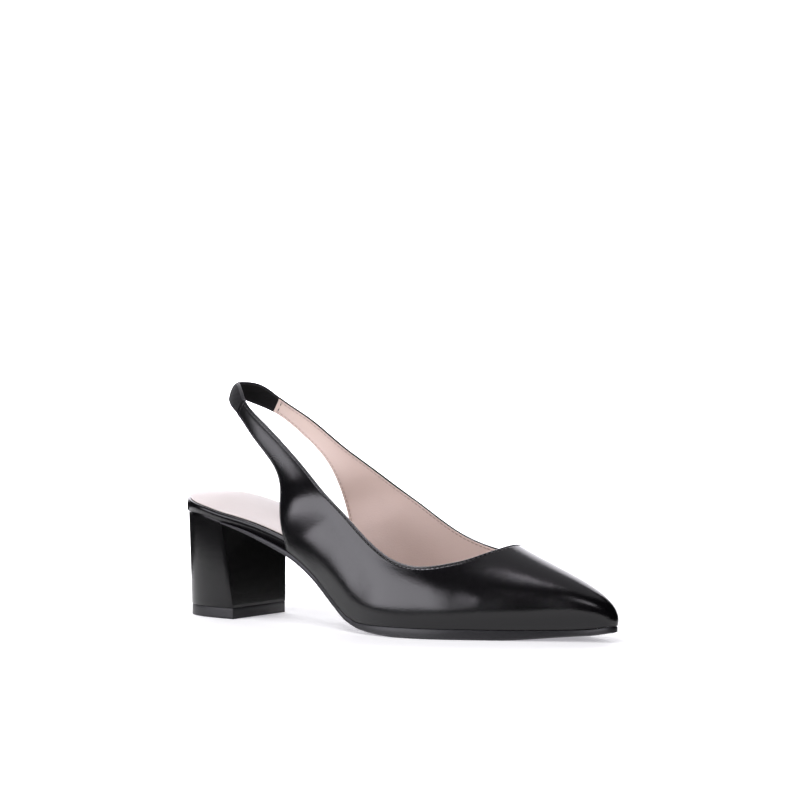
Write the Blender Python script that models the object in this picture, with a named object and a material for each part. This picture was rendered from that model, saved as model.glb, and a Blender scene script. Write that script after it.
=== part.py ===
"""Slingback pump with a block heel: one right shoe, standing empty on its sole and heel.

Metres. X runs to the toe, Y to the wearer's left (the inner side), Z up. The floor is Z = 0.
Lengths along the shoe are first measured from the back of the seat, and every piece is then
moved back by REST_ALONG, so that the origin is under the middle of the heel.
"""
import math
from collections import namedtuple

import bmesh
import bpy
import numpy as np

# The last: its bottom's length, its widths, and the heights it gives the shoe
LAST_LENGTH = 0.2455
BALL_WIDTH = 0.0780
SEAT_WIDTH = 0.0560
SEAT_HEIGHT = 0.0535
TOE_SPRING = 0.0026
STRAP_HEIGHT = 0.1100

# The wall of each piece, and the gap that every pair of neighbours keeps
UPPER_WALL = 0.0018
ELASTIC_WALL = 0.0012
GAP = 0.0003

# The wrapped insole: its thickness at the back, seat, waist and front, and its rounded lip
INSOLE_BACK = 0.0078
INSOLE_SEAT = 0.0040
INSOLE_WAIST = 0.0050
INSOLE_FRONT = 0.0026
INSOLE_LIP = 0.0009
LIP_TURN = 0.3
CUSHION_RISE = 0.0042

# The sock on top of it, set in from the insole's edge by a rim and padded fuller than the cushion
SOCK_THICKNESS = 0.0007
SOCK_FULLNESS = 1.28
SOCK_BEVEL = 0.0004
SOCK_RIM = 0.0016
SOCK_INNER_RIM = 0.0010

# The outsole, thick under the forefoot and skived thin at the heel's breast
SOLE_FRONT = 0.0049
SOLE_TOE = 0.0031
SOLE_SHANK = 0.0032
SOLE_SKIVE = 0.0010
SOLE_BEVEL = 0.0015
SOLE_SIDE = 0.8

# The block heel
HEEL_BREAST = 0.0348
HEEL_BASE_BREAST = 0.0382
HEEL_BASE_DEPTH = 0.0375
HEEL_BASE_WIDTH = 0.0430
HEEL_TOP_WIDTH = 0.0532
HEEL_INSET = 0.0003
HEEL_SQUARENESS = 2.6
TOP_PIECE = 0.0052
TOP_PIECE_STEP = 0.0002
REST_ALONG = HEEL_BASE_BREAST - HEEL_BASE_DEPTH / 2

# Plan of the last's bottom, back to toe. Sides are shares of half the named width.
Plan = namedtuple("Plan", "along width lateral medial")
SEAT_PLAN = [
    Plan(0.004, SEAT_WIDTH, 0.00, 0.00),
    Plan(0.012, SEAT_WIDTH, 0.44, 0.44),
    Plan(0.043, SEAT_WIDTH, 0.80, 0.80),
    Plan(0.105, SEAT_WIDTH, 0.99, 0.99),
    Plan(0.200, SEAT_WIDTH, 0.98, 0.97),
]
# Each row from here on is also a section of the upper, so it starts at the quarter's rear foot.
FRONT_PLAN = [
    Plan(0.314, BALL_WIDTH, 0.675, 0.655),
    Plan(0.395, BALL_WIDTH, 0.720, 0.645),
    Plan(0.478, BALL_WIDTH, 0.825, 0.725),
    Plan(0.566, BALL_WIDTH, 0.960, 0.880),
    Plan(0.655, BALL_WIDTH, 0.950, 1.000),
    Plan(0.750, BALL_WIDTH, 0.700, 0.930),
    Plan(0.845, BALL_WIDTH, 0.370, 0.680),
    Plan(0.925, BALL_WIDTH, 0.090, 0.425),
    Plan(0.980, BALL_WIDTH, -0.050, 0.235),
    Plan(1.000, BALL_WIDTH, -0.115, 0.115),
]

# Height of the last's bottom: shares of the seat's rise over the forefoot, and of the toe spring
Rise = namedtuple("Rise", "along seat spring")
RISES = [
    Rise(0.000, 1.000, 0.00),
    Rise(0.081, 0.980, 0.00),
    Rise(0.142, 0.915, 0.00),
    Rise(0.202, 0.845, 0.00),
    Rise(0.262, 0.752, 0.00),
    Rise(0.323, 0.632, 0.00),
    Rise(0.384, 0.440, 0.00),
    Rise(0.444, 0.190, 0.00),
    Rise(0.480, 0.064, 0.00),
    Rise(0.520, 0.008, 0.00),
    Rise(0.566, 0.000, 0.00),
    Rise(0.790, 0.000, 0.00),
    Rise(0.900, 0.000, 0.12),
    Rise(0.960, 0.000, 0.40),
    Rise(1.000, 0.000, 1.00),
]

# Sections behind the foot: the rear edge below, the topline above, from the middle of the
# back to just above the quarter's rear foot. Along is a share of the last's length, out of
# the ball's width, up of the strap's height; swells push the wall out, in ball widths.
Sling = namedtuple("Sling", "low_along low_out low_up top_along top_out top_up facing swell")
SLING = [
    Sling(0.083, 0.000, 1.006, 0.103, 0.000, 1.075, 180.0, 0.000),
    Sling(0.103, 0.112, 0.978, 0.126, 0.100, 1.066, 125.0, 0.002),
    Sling(0.145, 0.194, 0.930, 0.163, 0.190, 1.001, 104.0, 0.004),
    Sling(0.207, 0.266, 0.822, 0.231, 0.256, 0.900, 102.0, 0.006),
    Sling(0.258, 0.286, 0.717, 0.305, 0.290, 0.781, 98.0, 0.010),
    Sling(0.283, 0.308, 0.617, 0.364, 0.341, 0.688, 96.0, 0.014),
    Sling(0.295, 0.359, 0.487, 0.413, 0.387, 0.610, 94.0, 0.020),
]

# Sections over the foot, one for each row of FRONT_PLAN. The medial topline is a little higher.
Vamp = namedtuple("Vamp", "top_along top_out top_up medial_up facing low_swell top_swell")
VAMP = [
    Vamp(0.459, 0.422, 0.538, 0.542, 92.0, 0.002, 0.004),
    Vamp(0.507, 0.450, 0.459, 0.469, 88.0, 0.022, 0.016),
    Vamp(0.555, 0.475, 0.387, 0.404, 84.0, 0.038, 0.024),
    Vamp(0.602, 0.488, 0.337, 0.363, 80.0, 0.042, 0.024),
    Vamp(0.653, 0.472, 0.314, 0.341, 66.0, 0.050, 0.030),
    Vamp(0.700, 0.398, 0.324, 0.341, 56.0, 0.080, 0.040),
    Vamp(0.736, 0.308, 0.346, 0.355, 46.0, 0.128, 0.052),
    Vamp(0.759, 0.213, 0.371, 0.369, 34.0, 0.190, 0.064),
    Vamp(0.774, 0.110, 0.391, 0.384, 18.0, 0.258, 0.078),
    Vamp(0.781, 0.000, 0.400, 0.400, 0.0, 0.297, 0.088),
]
THROAT_SWING = 0.0025
LOW_SWELL_LIFT = 0.15

# Thicknesses along the last, as shares of its length
Depth = namedtuple("Depth", "along depth")
INSOLE_DEPTHS = [
    Depth(0.000, INSOLE_BACK),
    Depth(0.100, INSOLE_SEAT),
    Depth(0.314, INSOLE_WAIST),
    Depth(0.500, INSOLE_FRONT),
    Depth(1.000, INSOLE_FRONT),
]
CUSHION_RISES = [
    Depth(0.000, 0.8 * CUSHION_RISE),
    Depth(0.080, CUSHION_RISE),
    Depth(0.280, 0.0),
    Depth(1.000, 0.0),
]
SOCK_RIMS = [
    Depth(0.000, SOCK_RIM),
    Depth(0.314, SOCK_RIM),
    Depth(0.450, SOCK_INNER_RIM),
    Depth(1.000, SOCK_INNER_RIM),
]
SOLE_DEPTHS = [
    Depth(0.142, SOLE_SKIVE),
    Depth(0.314, SOLE_SHANK),
    Depth(0.480, SOLE_SHANK),
    Depth(0.620, SOLE_FRONT),
    Depth(0.800, SOLE_FRONT),
    Depth(0.950, SOLE_TOE),
    Depth(1.000, SOLE_TOE),
]
# How far the outsole reaches past the last's bottom: out to the upper's face, from the waist on
SOLE_REACHES = [
    Depth(0.142, 0.0),
    Depth(0.314, GAP + UPPER_WALL),
    Depth(1.000, GAP + UPPER_WALL),
]

# Colours and roughness
LEATHER = ((0.012, 0.012, 0.014), 0.35)
WEBBING = ((0.010, 0.010, 0.012), 0.80)
LINING = ((0.720, 0.640, 0.600), 0.60)
SOLING = ((0.020, 0.020, 0.022), 0.50)
TIP = ((0.015, 0.015, 0.016), 0.60)

# How finely the curved walls are stepped
STEPS_ALONG = 4
STEPS_UP = 9
STEPS_ACROSS = 6
ELASTIC_STEPS_UP = 3
HEEL_POINTS = 33
HEEL_STEPS = 4
SEARCH_POINTS = 400


def eased(stations, values):
    """Monotone cubic through the rows: it has no dips of its own, and flat runs stay flat."""
    xs = np.asarray(stations, float)
    ys = np.asarray(values, float)
    step = np.diff(xs)
    rate = np.diff(ys) / step
    slope = np.zeros(len(xs))
    for i in range(1, len(xs) - 1):
        if rate[i - 1] * rate[i] > 0:
            before = 2 * step[i] + step[i - 1]
            after = step[i] + 2 * step[i - 1]
            slope[i] = (before + after) / (before / rate[i - 1] + after / rate[i])
    slope[0], slope[-1] = rate[0], rate[-1]

    def value(x):
        x = np.clip(x, xs[0], xs[-1])
        i = np.clip(np.searchsorted(xs, x, side="right") - 1, 0, len(step) - 1)
        t = (x - xs[i]) / step[i]
        return ((1 + 2 * t) * (1 - t) ** 2 * ys[i] + t * (1 - t) ** 2 * step[i] * slope[i]
                + t * t * (3 - 2 * t) * ys[i + 1] + t * t * (t - 1) * step[i] * slope[i + 1])
    return value


def spline(knots, points, closed=False):
    """Cubic spline through the points. A closed one has one knot more than it has points."""
    ks = np.asarray(knots, float)
    ps = np.asarray(points, float)
    n = len(ps)
    step = np.diff(ks)
    system = np.zeros((n, n))
    right = np.zeros_like(ps)
    for i in range(n):
        if closed:
            before, after = step[i - 1], step[i]
        elif i == 0:
            system[0, 0], system[0, 1] = 2, 1
            right[0] = 3 * (ps[1] - ps[0]) / step[0]
            continue
        elif i == n - 1:
            system[i, i], system[i, i - 1] = 2, 1
            right[i] = 3 * (ps[i] - ps[i - 1]) / step[-1]
            continue
        else:
            before, after = step[i - 1], step[i]
        j = (i + 1) % n
        system[i, i - 1] += 1 / before
        system[i, i] += 2 / before + 2 / after
        system[i, j] += 1 / after
        right[i] = 3 * ((ps[i] - ps[i - 1]) / before ** 2 + (ps[j] - ps[i]) / after ** 2)
    slope = np.linalg.solve(system, right)

    def point(s):
        s = np.atleast_1d(np.asarray(s, float))
        if closed:
            s = ks[0] + (s - ks[0]) % (ks[-1] - ks[0])
        i = np.clip(np.searchsorted(ks, s, side="right") - 1, 0, len(step) - 1)
        j = (i + 1) % n
        t = ((s - ks[i]) / step[i])[:, None]
        h = step[i][:, None]
        return ((1 + 2 * t) * (1 - t) ** 2 * ps[i] + t * (1 - t) ** 2 * h * slope[i]
                + t * t * (3 - 2 * t) * ps[j] + t * t * (t - 1) * h * slope[j])
    return point


def chord_knots(points, closed=False):
    ps = np.asarray(points, float)
    if closed:
        ps = np.vstack([ps, ps[:1]])
    return np.concatenate([[0.0], np.cumsum(np.linalg.norm(np.diff(ps, axis=0), axis=1))])


bottom_height = eased([r.along * LAST_LENGTH for r in RISES],
                      [SOLE_FRONT + r.seat * (SEAT_HEIGHT - SOLE_FRONT) + r.spring * TOE_SPRING
                       for r in RISES])


# The last's bottom as one closed curve: lateral side from the back to the toe, then the medial
def plan_loop():
    rows = SEAT_PLAN + FRONT_PLAN
    lateral = [(r.along * LAST_LENGTH, -r.lateral * r.width / 2) for r in rows]
    medial = [(r.along * LAST_LENGTH, r.medial * r.width / 2) for r in rows]
    return lateral + medial[-2:0:-1]


PLAN = plan_loop()
PLAN_KNOTS = chord_knots(PLAN, closed=True)
plan_curve = spline(PLAN_KNOTS, PLAN, closed=True)
ROWS = len(SEAT_PLAN) + len(FRONT_PLAN)
LATERAL_FOOT = len(SEAT_PLAN)
MEDIAL_FOOT = 2 * (ROWS - 1) - LATERAL_FOOT


def outline(s, away):
    """Points of the last's bottom curve, pushed outwards by the given distance, in plan."""
    s = np.atleast_1d(np.asarray(s, float))
    nudge = 1e-5
    ahead = plan_curve(s + nudge) - plan_curve(s - nudge)
    ahead /= np.linalg.norm(ahead, axis=1)[:, None]
    outward = np.stack([ahead[:, 1], -ahead[:, 0]], axis=1)
    return plan_curve(s) + outward * np.reshape(away, (-1, 1))


# The upper's loops: one row of points round the shoe for each end and handle of a section
def side_rows(side, medial):
    """Low end, top end and the two swells of each section, from the back to the toe."""
    rows = []
    for r in SLING:
        facing = math.radians(r.facing)
        out = np.array([math.cos(facing), side * math.sin(facing), 0.0])
        low = np.array([r.low_along * LAST_LENGTH, side * r.low_out * BALL_WIDTH, r.low_up * STRAP_HEIGHT])
        top = np.array([r.top_along * LAST_LENGTH, side * r.top_out * BALL_WIDTH, r.top_up * STRAP_HEIGHT])
        rows.append((low, top, out * r.swell * BALL_WIDTH, out * r.swell * BALL_WIDTH))
    for i, r in enumerate(VAMP):
        facing = math.radians(r.facing)
        out = np.array([math.cos(facing), side * math.sin(facing), 0.0])
        knot = PLAN_KNOTS[LATERAL_FOOT + i] if side < 0 else PLAN_KNOTS[2 * (ROWS - 1) - LATERAL_FOOT - i]
        foot = outline(knot, GAP + UPPER_WALL)[0]
        low = np.array([foot[0], foot[1], bottom_height(foot[0]) + GAP])
        swing = THROAT_SWING * i / (len(VAMP) - 1)
        up = r.medial_up if medial else r.top_up
        top = np.array([r.top_along * LAST_LENGTH, side * r.top_out * BALL_WIDTH + swing, up * STRAP_HEIGHT])
        low_swell = (out + np.array([0.0, 0.0, LOW_SWELL_LIFT])) * r.low_swell * BALL_WIDTH
        rows.append((low, top, low_swell, out * r.top_swell * BALL_WIDTH))
    return rows


LATERAL_ROWS = side_rows(-1, False)
MEDIAL_ROWS = side_rows(1, True)
# Round the shoe from the middle of the back: lateral side, toe, medial side
LOOP_ROWS = LATERAL_ROWS + MEDIAL_ROWS[-2:0:-1]
STRAP_END = 2
FOOT = len(SLING)
TOE = len(LATERAL_ROWS) - 1
COUNT = len(LOOP_ROWS)

low_ends = np.array([r[0] for r in LOOP_ROWS])
top_ends = np.array([r[1] for r in LOOP_ROWS])
LOOP_KNOTS = (chord_knots(low_ends, closed=True) + chord_knots(top_ends, closed=True)) / 2
top_loop = spline(LOOP_KNOTS, top_ends, closed=True)
low_handle = spline(LOOP_KNOTS, (top_ends - low_ends) / 3 + np.array([r[2] for r in LOOP_ROWS]), closed=True)
top_handle = spline(LOOP_KNOTS, (low_ends - top_ends) / 3 + np.array([r[3] for r in LOOP_ROWS]), closed=True)

# The rear edge is a curve of its own, from the medial foot up over the back to the lateral foot
rear_index = list(range(FOOT, -1, -1)) + list(range(COUNT - 1, COUNT - FOOT - 1, -1))
rear_points = low_ends[rear_index]
rear_knots = np.array([LOOP_KNOTS[i] if i <= FOOT else LOOP_KNOTS[i] - LOOP_KNOTS[-1] for i in rear_index])
rear_curve = spline(rear_knots[::-1], rear_points[::-1])
front_map = eased(LOOP_KNOTS[FOOT:COUNT - FOOT + 1],
                  [PLAN_KNOTS[LATERAL_FOOT + i] for i in range(COUNT - 2 * FOOT + 1)])


def low_loop(s, away):
    """Lower edge of the upper at loop places s; away is the distance out from the last."""
    s = np.atleast_1d(np.asarray(s, float))
    points = np.zeros((len(s), 3))
    for k, place in enumerate(s):
        wrapped = place if place <= LOOP_KNOTS[COUNT - FOOT] + 1e-9 else place - LOOP_KNOTS[-1]
        if wrapped < LOOP_KNOTS[FOOT] - 1e-9:
            points[k] = rear_curve(wrapped)[0]
        else:
            x, y = outline(front_map(wrapped), away)[0]
            points[k] = x, y, bottom_height(x) + GAP
    return points


def wall_point(s, t):
    """The upper's outer face: s round the shoe, t from the lower edge to the topline."""
    low = low_loop(s, GAP + UPPER_WALL)
    top = top_loop(s)
    t = np.reshape(t, (-1, 1))
    return ((1 - t) ** 3 * low + 3 * t * (1 - t) ** 2 * (low + low_handle(s))
            + 3 * t * t * (1 - t) * (top + top_handle(s)) + t ** 3 * top)


def wall_grid(stations, heights, depth):
    """Points at the given depth under the outer face, a row of heights for each station."""
    s, t = np.meshgrid(stations, heights, indexing="ij")
    s, t = s.ravel(), t.ravel()
    nudge_s, nudge_t = 1e-4, 1e-3
    along = wall_point(s + nudge_s, t) - wall_point(s - nudge_s, t)
    up = wall_point(s, np.minimum(t + nudge_t, 1.0)) - wall_point(s, np.maximum(t - nudge_t, 0.0))
    outward = np.cross(along, up)
    outward /= np.linalg.norm(outward, axis=1)[:, None]
    points = wall_point(s, t) - depth * outward
    return points.reshape(len(stations), len(heights), 3)


# Mesh helpers
def finish(name, points, faces, look, sharp_degrees=40.0):
    """One named object from points measured from the seat's back, with its own material."""
    mesh = bpy.data.meshes.new(name)
    moved = [(p[0] - REST_ALONG, p[1], p[2]) for p in points]
    mesh.from_pydata(moved, [], faces)
    work = bmesh.new()
    work.from_mesh(mesh)
    bmesh.ops.remove_doubles(work, verts=work.verts, dist=1e-6)
    bmesh.ops.dissolve_degenerate(work, dist=1e-7, edges=work.edges)
    bmesh.ops.recalc_face_normals(work, faces=work.faces)
    work.to_mesh(mesh)
    work.free()
    mesh.shade_smooth()
    mesh.set_sharp_from_angle(angle=math.radians(sharp_degrees))
    material = bpy.data.materials.new(name)
    material.use_nodes = True
    shader = material.node_tree.nodes["Principled BSDF"]
    colour, roughness = look
    shader.inputs["Base Color"].default_value = (*colour, 1.0)
    shader.inputs["Roughness"].default_value = roughness
    mesh.materials.append(material)
    piece = bpy.data.objects.new(name, mesh)
    bpy.context.scene.collection.objects.link(piece)
    return piece


def slab(outer, inner):
    """Points and faces of a curved wall between two grids of the same size, closed all round."""
    rows, columns = outer.shape[:2]
    points = np.vstack([outer.reshape(-1, 3), inner.reshape(-1, 3)])
    back = rows * columns

    def at(i, j, layer):
        return layer * back + i * columns + j
    faces = []
    for i in range(rows - 1):
        for j in range(columns - 1):
            faces.append((at(i, j, 0), at(i + 1, j, 0), at(i + 1, j + 1, 0), at(i, j + 1, 0)))
            faces.append((at(i, j, 1), at(i, j + 1, 1), at(i + 1, j + 1, 1), at(i + 1, j, 1)))
        for j in (0, columns - 1):
            faces.append((at(i, j, 0), at(i, j, 1), at(i + 1, j, 1), at(i + 1, j, 0)))
    for j in range(columns - 1):
        for i in (0, rows - 1):
            faces.append((at(i, j, 0), at(i, j + 1, 0), at(i, j + 1, 1), at(i, j, 1)))
    return points, faces


def stepped(knots, steps):
    """Places between knots, with the same number of steps in each interval."""
    places = []
    for a, b in zip(knots[:-1], knots[1:]):
        places += [a + (b - a) * k / steps for k in range(steps)]
    return np.array(places + [knots[-1]])


def make_upper():
    """Quarters, vamp and strap ends in one wall, open at the throat, behind and underneath."""
    knots = LOOP_KNOTS[STRAP_END:COUNT - STRAP_END + 1]
    stations = stepped(knots, STEPS_ALONG)
    seam = GAP / 2
    stations[0] += seam
    stations[-1] -= seam
    heights = np.linspace(0.0, 1.0, STEPS_UP + 1)
    outer = wall_grid(stations, heights, 0.0)
    inner = wall_grid(stations, heights, UPPER_WALL)
    over_sole = (stations >= LOOP_KNOTS[FOOT] - 1e-9) & (stations <= LOOP_KNOTS[COUNT - FOOT] + 1e-9)
    inner[over_sole, 0] = low_loop(stations[over_sole], GAP)
    points, faces = slab(outer, inner)
    return finish("upper", points, faces, LEATHER)


def make_elastic():
    """The elastic behind the heel of the foot, butted between the two strap ends."""
    knots = np.concatenate([LOOP_KNOTS[COUNT - STRAP_END:] - LOOP_KNOTS[-1], LOOP_KNOTS[1:STRAP_END + 1]])
    stations = stepped(knots, 2 * STEPS_ALONG)
    seam = GAP / 2
    stations[0] += seam
    stations[-1] -= seam
    heights = np.linspace(0.0, 1.0, ELASTIC_STEPS_UP + 1)
    sunk = (UPPER_WALL - ELASTIC_WALL) / 2
    outer = wall_grid(stations, heights, sunk)
    inner = wall_grid(stations, heights, sunk + ELASTIC_WALL)
    points, faces = slab(outer, inner)
    return finish("heel_elastic", points, faces, WEBBING)


# Layers under the foot: each is a closed stack of rings of the plan curve, capped across
def along_last(rows):
    return eased([r.along * LAST_LENGTH for r in rows], [r.depth for r in rows])


insole_thickness = along_last(INSOLE_DEPTHS)
cushion = along_last(CUSHION_RISES)
sock_rim = along_last(SOCK_RIMS)
sole_thickness = along_last(SOLE_DEPTHS)
sole_reach = along_last(SOLE_REACHES)


def sides(start=0.0):
    """Places on the lateral side from a start to the toe, and their partners on the medial."""
    places = stepped(PLAN_KNOTS[:ROWS], STEPS_ALONG)
    ahead = places > start + 1e-6
    mirrored = stepped(PLAN_KNOTS[ROWS - 1:], STEPS_ALONG)[::-1]
    total = PLAN_KNOTS[-1]
    lateral = np.concatenate([[start], places[ahead]])
    medial = np.concatenate([[total - start], mirrored[ahead]])
    return lateral, medial % total


def place_at(x):
    """The place on the lateral side where the plan first reaches x."""
    fine = np.linspace(0.0, PLAN_KNOTS[LATERAL_FOOT], SEARCH_POINTS)
    return fine[np.argmax(plan_curve(fine)[:, 0] >= x)]


def no_crown(x):
    return 0.0 * x


def layer(name, rings, look, low_crown=no_crown, top_crown=no_crown):
    """rings: (lateral points, medial points) from the bottom up, back to toe, with equal counts.

    Strips run from side to side over the top, under the bottom and across the back end.
    """
    count = len(rings[0][0])
    size = 2 * count
    points = []
    for lateral, medial in rings:
        points += [tuple(p) for p in lateral] + [tuple(p) for p in medial[::-1]]
    faces = []
    for k in range(len(rings) - 1):
        for i in range(size - 1):
            faces.append((k * size + i, k * size + i + 1, (k + 1) * size + i + 1, (k + 1) * size + i))

    def strip(k, i, crown):
        lateral, medial = (np.array(side[i]) for side in rings[k])
        fullness = min(1.0, (medial[1] - lateral[1]) / SEAT_WIDTH) ** 2
        row = [k * size + i]
        for step in range(1, STEPS_ACROSS):
            mix = step / STEPS_ACROSS
            x, y, z = (1 - mix) * lateral + mix * medial
            points.append((x, y, z + 4 * mix * (1 - mix) * fullness * crown(x)))
            row.append(len(points) - 1)
        return row + [k * size + size - 1 - i]

    def join(a, b):
        for step in range(STEPS_ACROSS):
            faces.append((a[step], a[step + 1], b[step + 1], b[step]))
    crowns = [low_crown] + [no_crown] * (len(rings) - 2) + [top_crown]
    ends = [strip(k, 0, crown) for k, crown in enumerate(crowns)]
    for a, b in zip(ends[:-1], ends[1:]):
        join(a, b)
    for k in (0, len(rings) - 1):
        before = ends[k]
        for i in range(1, count):
            after = strip(k, i, crowns[k])
            join(before, after)
            before = after
    return finish(name, points, faces, look)


def ring(knots, away, lift):
    """One ring: the plan pushed out by away, lifted over the last's bottom by lift(x)."""
    rows = []
    for side in knots:
        flat = outline(side, away)
        rows.append([(x, y, bottom_height(x) + lift(x)) for x, y in flat])
    return rows


def make_insole():
    """The wrapped insole board: its edge shows behind the quarters, with a rounded lip."""
    places = sides()
    lip = INSOLE_LIP / INSOLE_SEAT

    def lift(share):
        return lambda x: GAP + share * insole_thickness(x)
    rings = [ring(places, 0.0, lift(0.0)),
             ring(places, 0.0, lift(1 - lip)),
             ring(places, -LIP_TURN * INSOLE_LIP, lift(1 - LIP_TURN * lip)),
             ring(places, -INSOLE_LIP, lift(1.0))]
    return layer("insole", rings, LEATHER, top_crown=cushion)


def make_sock():
    """The sock that lines the whole insole, set in from its edge."""
    places = sides()

    def padding(x):
        return SOCK_FULLNESS * cushion(x)

    def sock_ring(extra, height):
        rows = []
        for side in places:
            rim = sock_rim(plan_curve(side)[:, 0])
            flat = outline(side, -rim - extra)
            rows.append([(x, y, bottom_height(x) + insole_thickness(x) + 2 * GAP + height)
                         for x, y in flat])
        return rows
    rings = [sock_ring(0.0, 0.0),
             sock_ring(0.0, SOCK_THICKNESS - SOCK_BEVEL),
             sock_ring(SOCK_BEVEL, SOCK_THICKNESS)]
    return layer("sock", rings, LINING, low_crown=cushion, top_crown=padding)


def make_outsole():
    """The outsole, which ends under the seat just ahead of the heel's breast."""
    places = sides(place_at(HEEL_BREAST + GAP))

    def sole_ring(inset, share):
        rows = []
        for side in places:
            reach = sole_reach(plan_curve(side)[:, 0])
            flat = outline(side, reach - inset)
            rows.append([(x, y, bottom_height(x) - share * sole_thickness(x)) for x, y in flat])
        return rows
    rings = [sole_ring(SOLE_BEVEL, 1.0), sole_ring(0.0, SOLE_SIDE), sole_ring(0.0, 0.0)]
    return layer("outsole", rings, SOLING)


def heel_plans():
    """The heel's plan under the insole, where it follows the seat, and its plan at the base."""
    end = place_at(HEEL_BREAST)
    seat = outline(np.linspace(-end, end, HEEL_POINTS) % PLAN_KNOTS[-1], -HEEL_INSET)
    seat[:, 1] *= HEEL_TOP_WIDTH / (seat[0, 1] - seat[-1, 1])
    turn = np.linspace(math.pi / 2, -math.pi / 2, HEEL_POINTS)
    power = 2 / HEEL_SQUARENESS
    back = HEEL_BASE_DEPTH * np.abs(np.cos(turn)) ** power
    side = HEEL_BASE_WIDTH / 2 * np.sign(np.sin(turn)) * np.abs(np.sin(turn)) ** power
    base = np.stack([HEEL_BASE_BREAST - back, side], axis=1)
    return seat, base


def stack(name, rings, look):
    """A closed solid from rings of points, each capped by strips from side to side."""
    points = [tuple(p) for r in rings for p in r]
    size = len(rings[0])
    faces = []
    for k in range(len(rings) - 1):
        for i in range(size):
            j = (i + 1) % size
            faces.append((k * size + i, k * size + j, (k + 1) * size + j, (k + 1) * size + i))
    for k in (0, len(rings) - 1):
        for i in range(size // 2):
            a, b = k * size + i, k * size + i + 1
            c, d = k * size + size - 2 - i, k * size + size - 1 - i
            faces.append((a, b, c, d) if b != c else (a, b, d))
    return finish(name, points, faces, look, sharp_degrees=30.0)


def make_heel():
    """The block heel, from its base on the top piece up to the insole it carries."""
    seat, base = heel_plans()
    foot = TOP_PIECE + GAP
    rings = []
    for share in np.linspace(0.0, 1.0, HEEL_STEPS + 1):
        flat = base + (seat - base) * share
        rings.append([(x, y, foot + (bottom_height(top_x) - foot) * share)
                      for (x, y), (top_x, _) in zip(flat, seat)])
    return stack("heel", rings, LEATHER)


def make_top_piece():
    """The flat tip under the heel, a little smaller than the heel's base."""
    _, base = heel_plans()
    middle = np.array([REST_ALONG, 0.0])
    half = np.array([HEEL_BASE_DEPTH, HEEL_BASE_WIDTH]) / 2
    edge = middle + (base - middle) * (1 - TOP_PIECE_STEP / half)
    rings = [[(x, y, z) for x, y in edge] for z in (0.0, TOP_PIECE)]
    return stack("top_piece", rings, TIP)


def main():
    for piece in list(bpy.data.objects):
        bpy.data.objects.remove(piece, do_unlink=True)
    make_upper()
    make_elastic()
    make_insole()
    make_sock()
    make_outsole()
    make_heel()
    make_top_piece()


main()
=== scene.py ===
"""Slingback pump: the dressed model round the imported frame. Metres, same frame as the CAD."""

import math
from collections import namedtuple

import bmesh
import bpy
import numpy as np
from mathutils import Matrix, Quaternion, Vector


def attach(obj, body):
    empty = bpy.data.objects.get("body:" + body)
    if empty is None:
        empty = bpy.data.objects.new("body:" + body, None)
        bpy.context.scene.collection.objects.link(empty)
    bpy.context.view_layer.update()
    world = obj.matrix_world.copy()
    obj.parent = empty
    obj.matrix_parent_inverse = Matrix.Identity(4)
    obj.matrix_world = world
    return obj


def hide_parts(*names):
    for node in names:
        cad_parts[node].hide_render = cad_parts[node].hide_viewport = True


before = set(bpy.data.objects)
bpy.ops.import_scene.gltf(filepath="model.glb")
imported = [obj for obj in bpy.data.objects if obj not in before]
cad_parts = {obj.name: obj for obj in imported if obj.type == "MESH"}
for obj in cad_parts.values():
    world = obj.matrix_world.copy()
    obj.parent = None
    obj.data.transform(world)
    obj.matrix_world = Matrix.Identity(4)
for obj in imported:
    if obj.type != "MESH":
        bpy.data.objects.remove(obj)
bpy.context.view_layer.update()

# Camera at the photograph's viewing angle
CAMERA_PLACE = (1.10899, -1.39221, 0.1901)
CAMERA_TURN = (math.radians(87.37), 0.0, math.radians(35.77))
CAMERA_LENS = 158.22
CAMERA_SENSOR = 36.0
CAMERA_REACH = 50.0

# The last: its bottom's length, its widths, and the heights it gives the shoe
LAST_LENGTH = 0.2455
BALL_WIDTH = 0.0780
SEAT_WIDTH = 0.0560
SEAT_HEIGHT = 0.0535
TOE_SPRING = 0.0026
STRAP_HEIGHT = 0.1100

# The wall of each piece, and the gap that every pair of neighbours keeps
UPPER_WALL = 0.0018
ELASTIC_WALL = 0.0012
GAP = 0.0003

# The wrapped insole: its thickness at the back, seat, waist and front, and the cushion on it
INSOLE_BACK = 0.0078
INSOLE_SEAT = 0.0040
INSOLE_WAIST = 0.0050
INSOLE_FRONT = 0.0026
CUSHION_RISE = 0.0042

# The sock on top of it, set in from the insole's edge by a rim and padded fuller than the cushion
SOCK_THICKNESS = 0.0007
SOCK_FULLNESS = 1.28
SOCK_RIM = 0.0016
SOCK_INNER_RIM = 0.0010

# The outsole, thick under the forefoot and skived thin at the heel's breast
SOLE_FRONT = 0.0049
SOLE_TOE = 0.0031
SOLE_SHANK = 0.0032
SOLE_SKIVE = 0.0010
SOLE_BEVEL = 0.0015
SOLE_SIDE = 0.8

# The block heel
HEEL_BREAST = 0.0348
HEEL_BASE_BREAST = 0.0382
HEEL_BASE_DEPTH = 0.0375
HEEL_BASE_WIDTH = 0.0430
HEEL_TOP_WIDTH = 0.0532
HEEL_INSET = 0.0003
HEEL_SQUARENESS = 2.6
TOP_PIECE = 0.0052
TOP_PIECE_STEP = 0.0002
REST_ALONG = HEEL_BASE_BREAST - HEEL_BASE_DEPTH / 2

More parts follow.
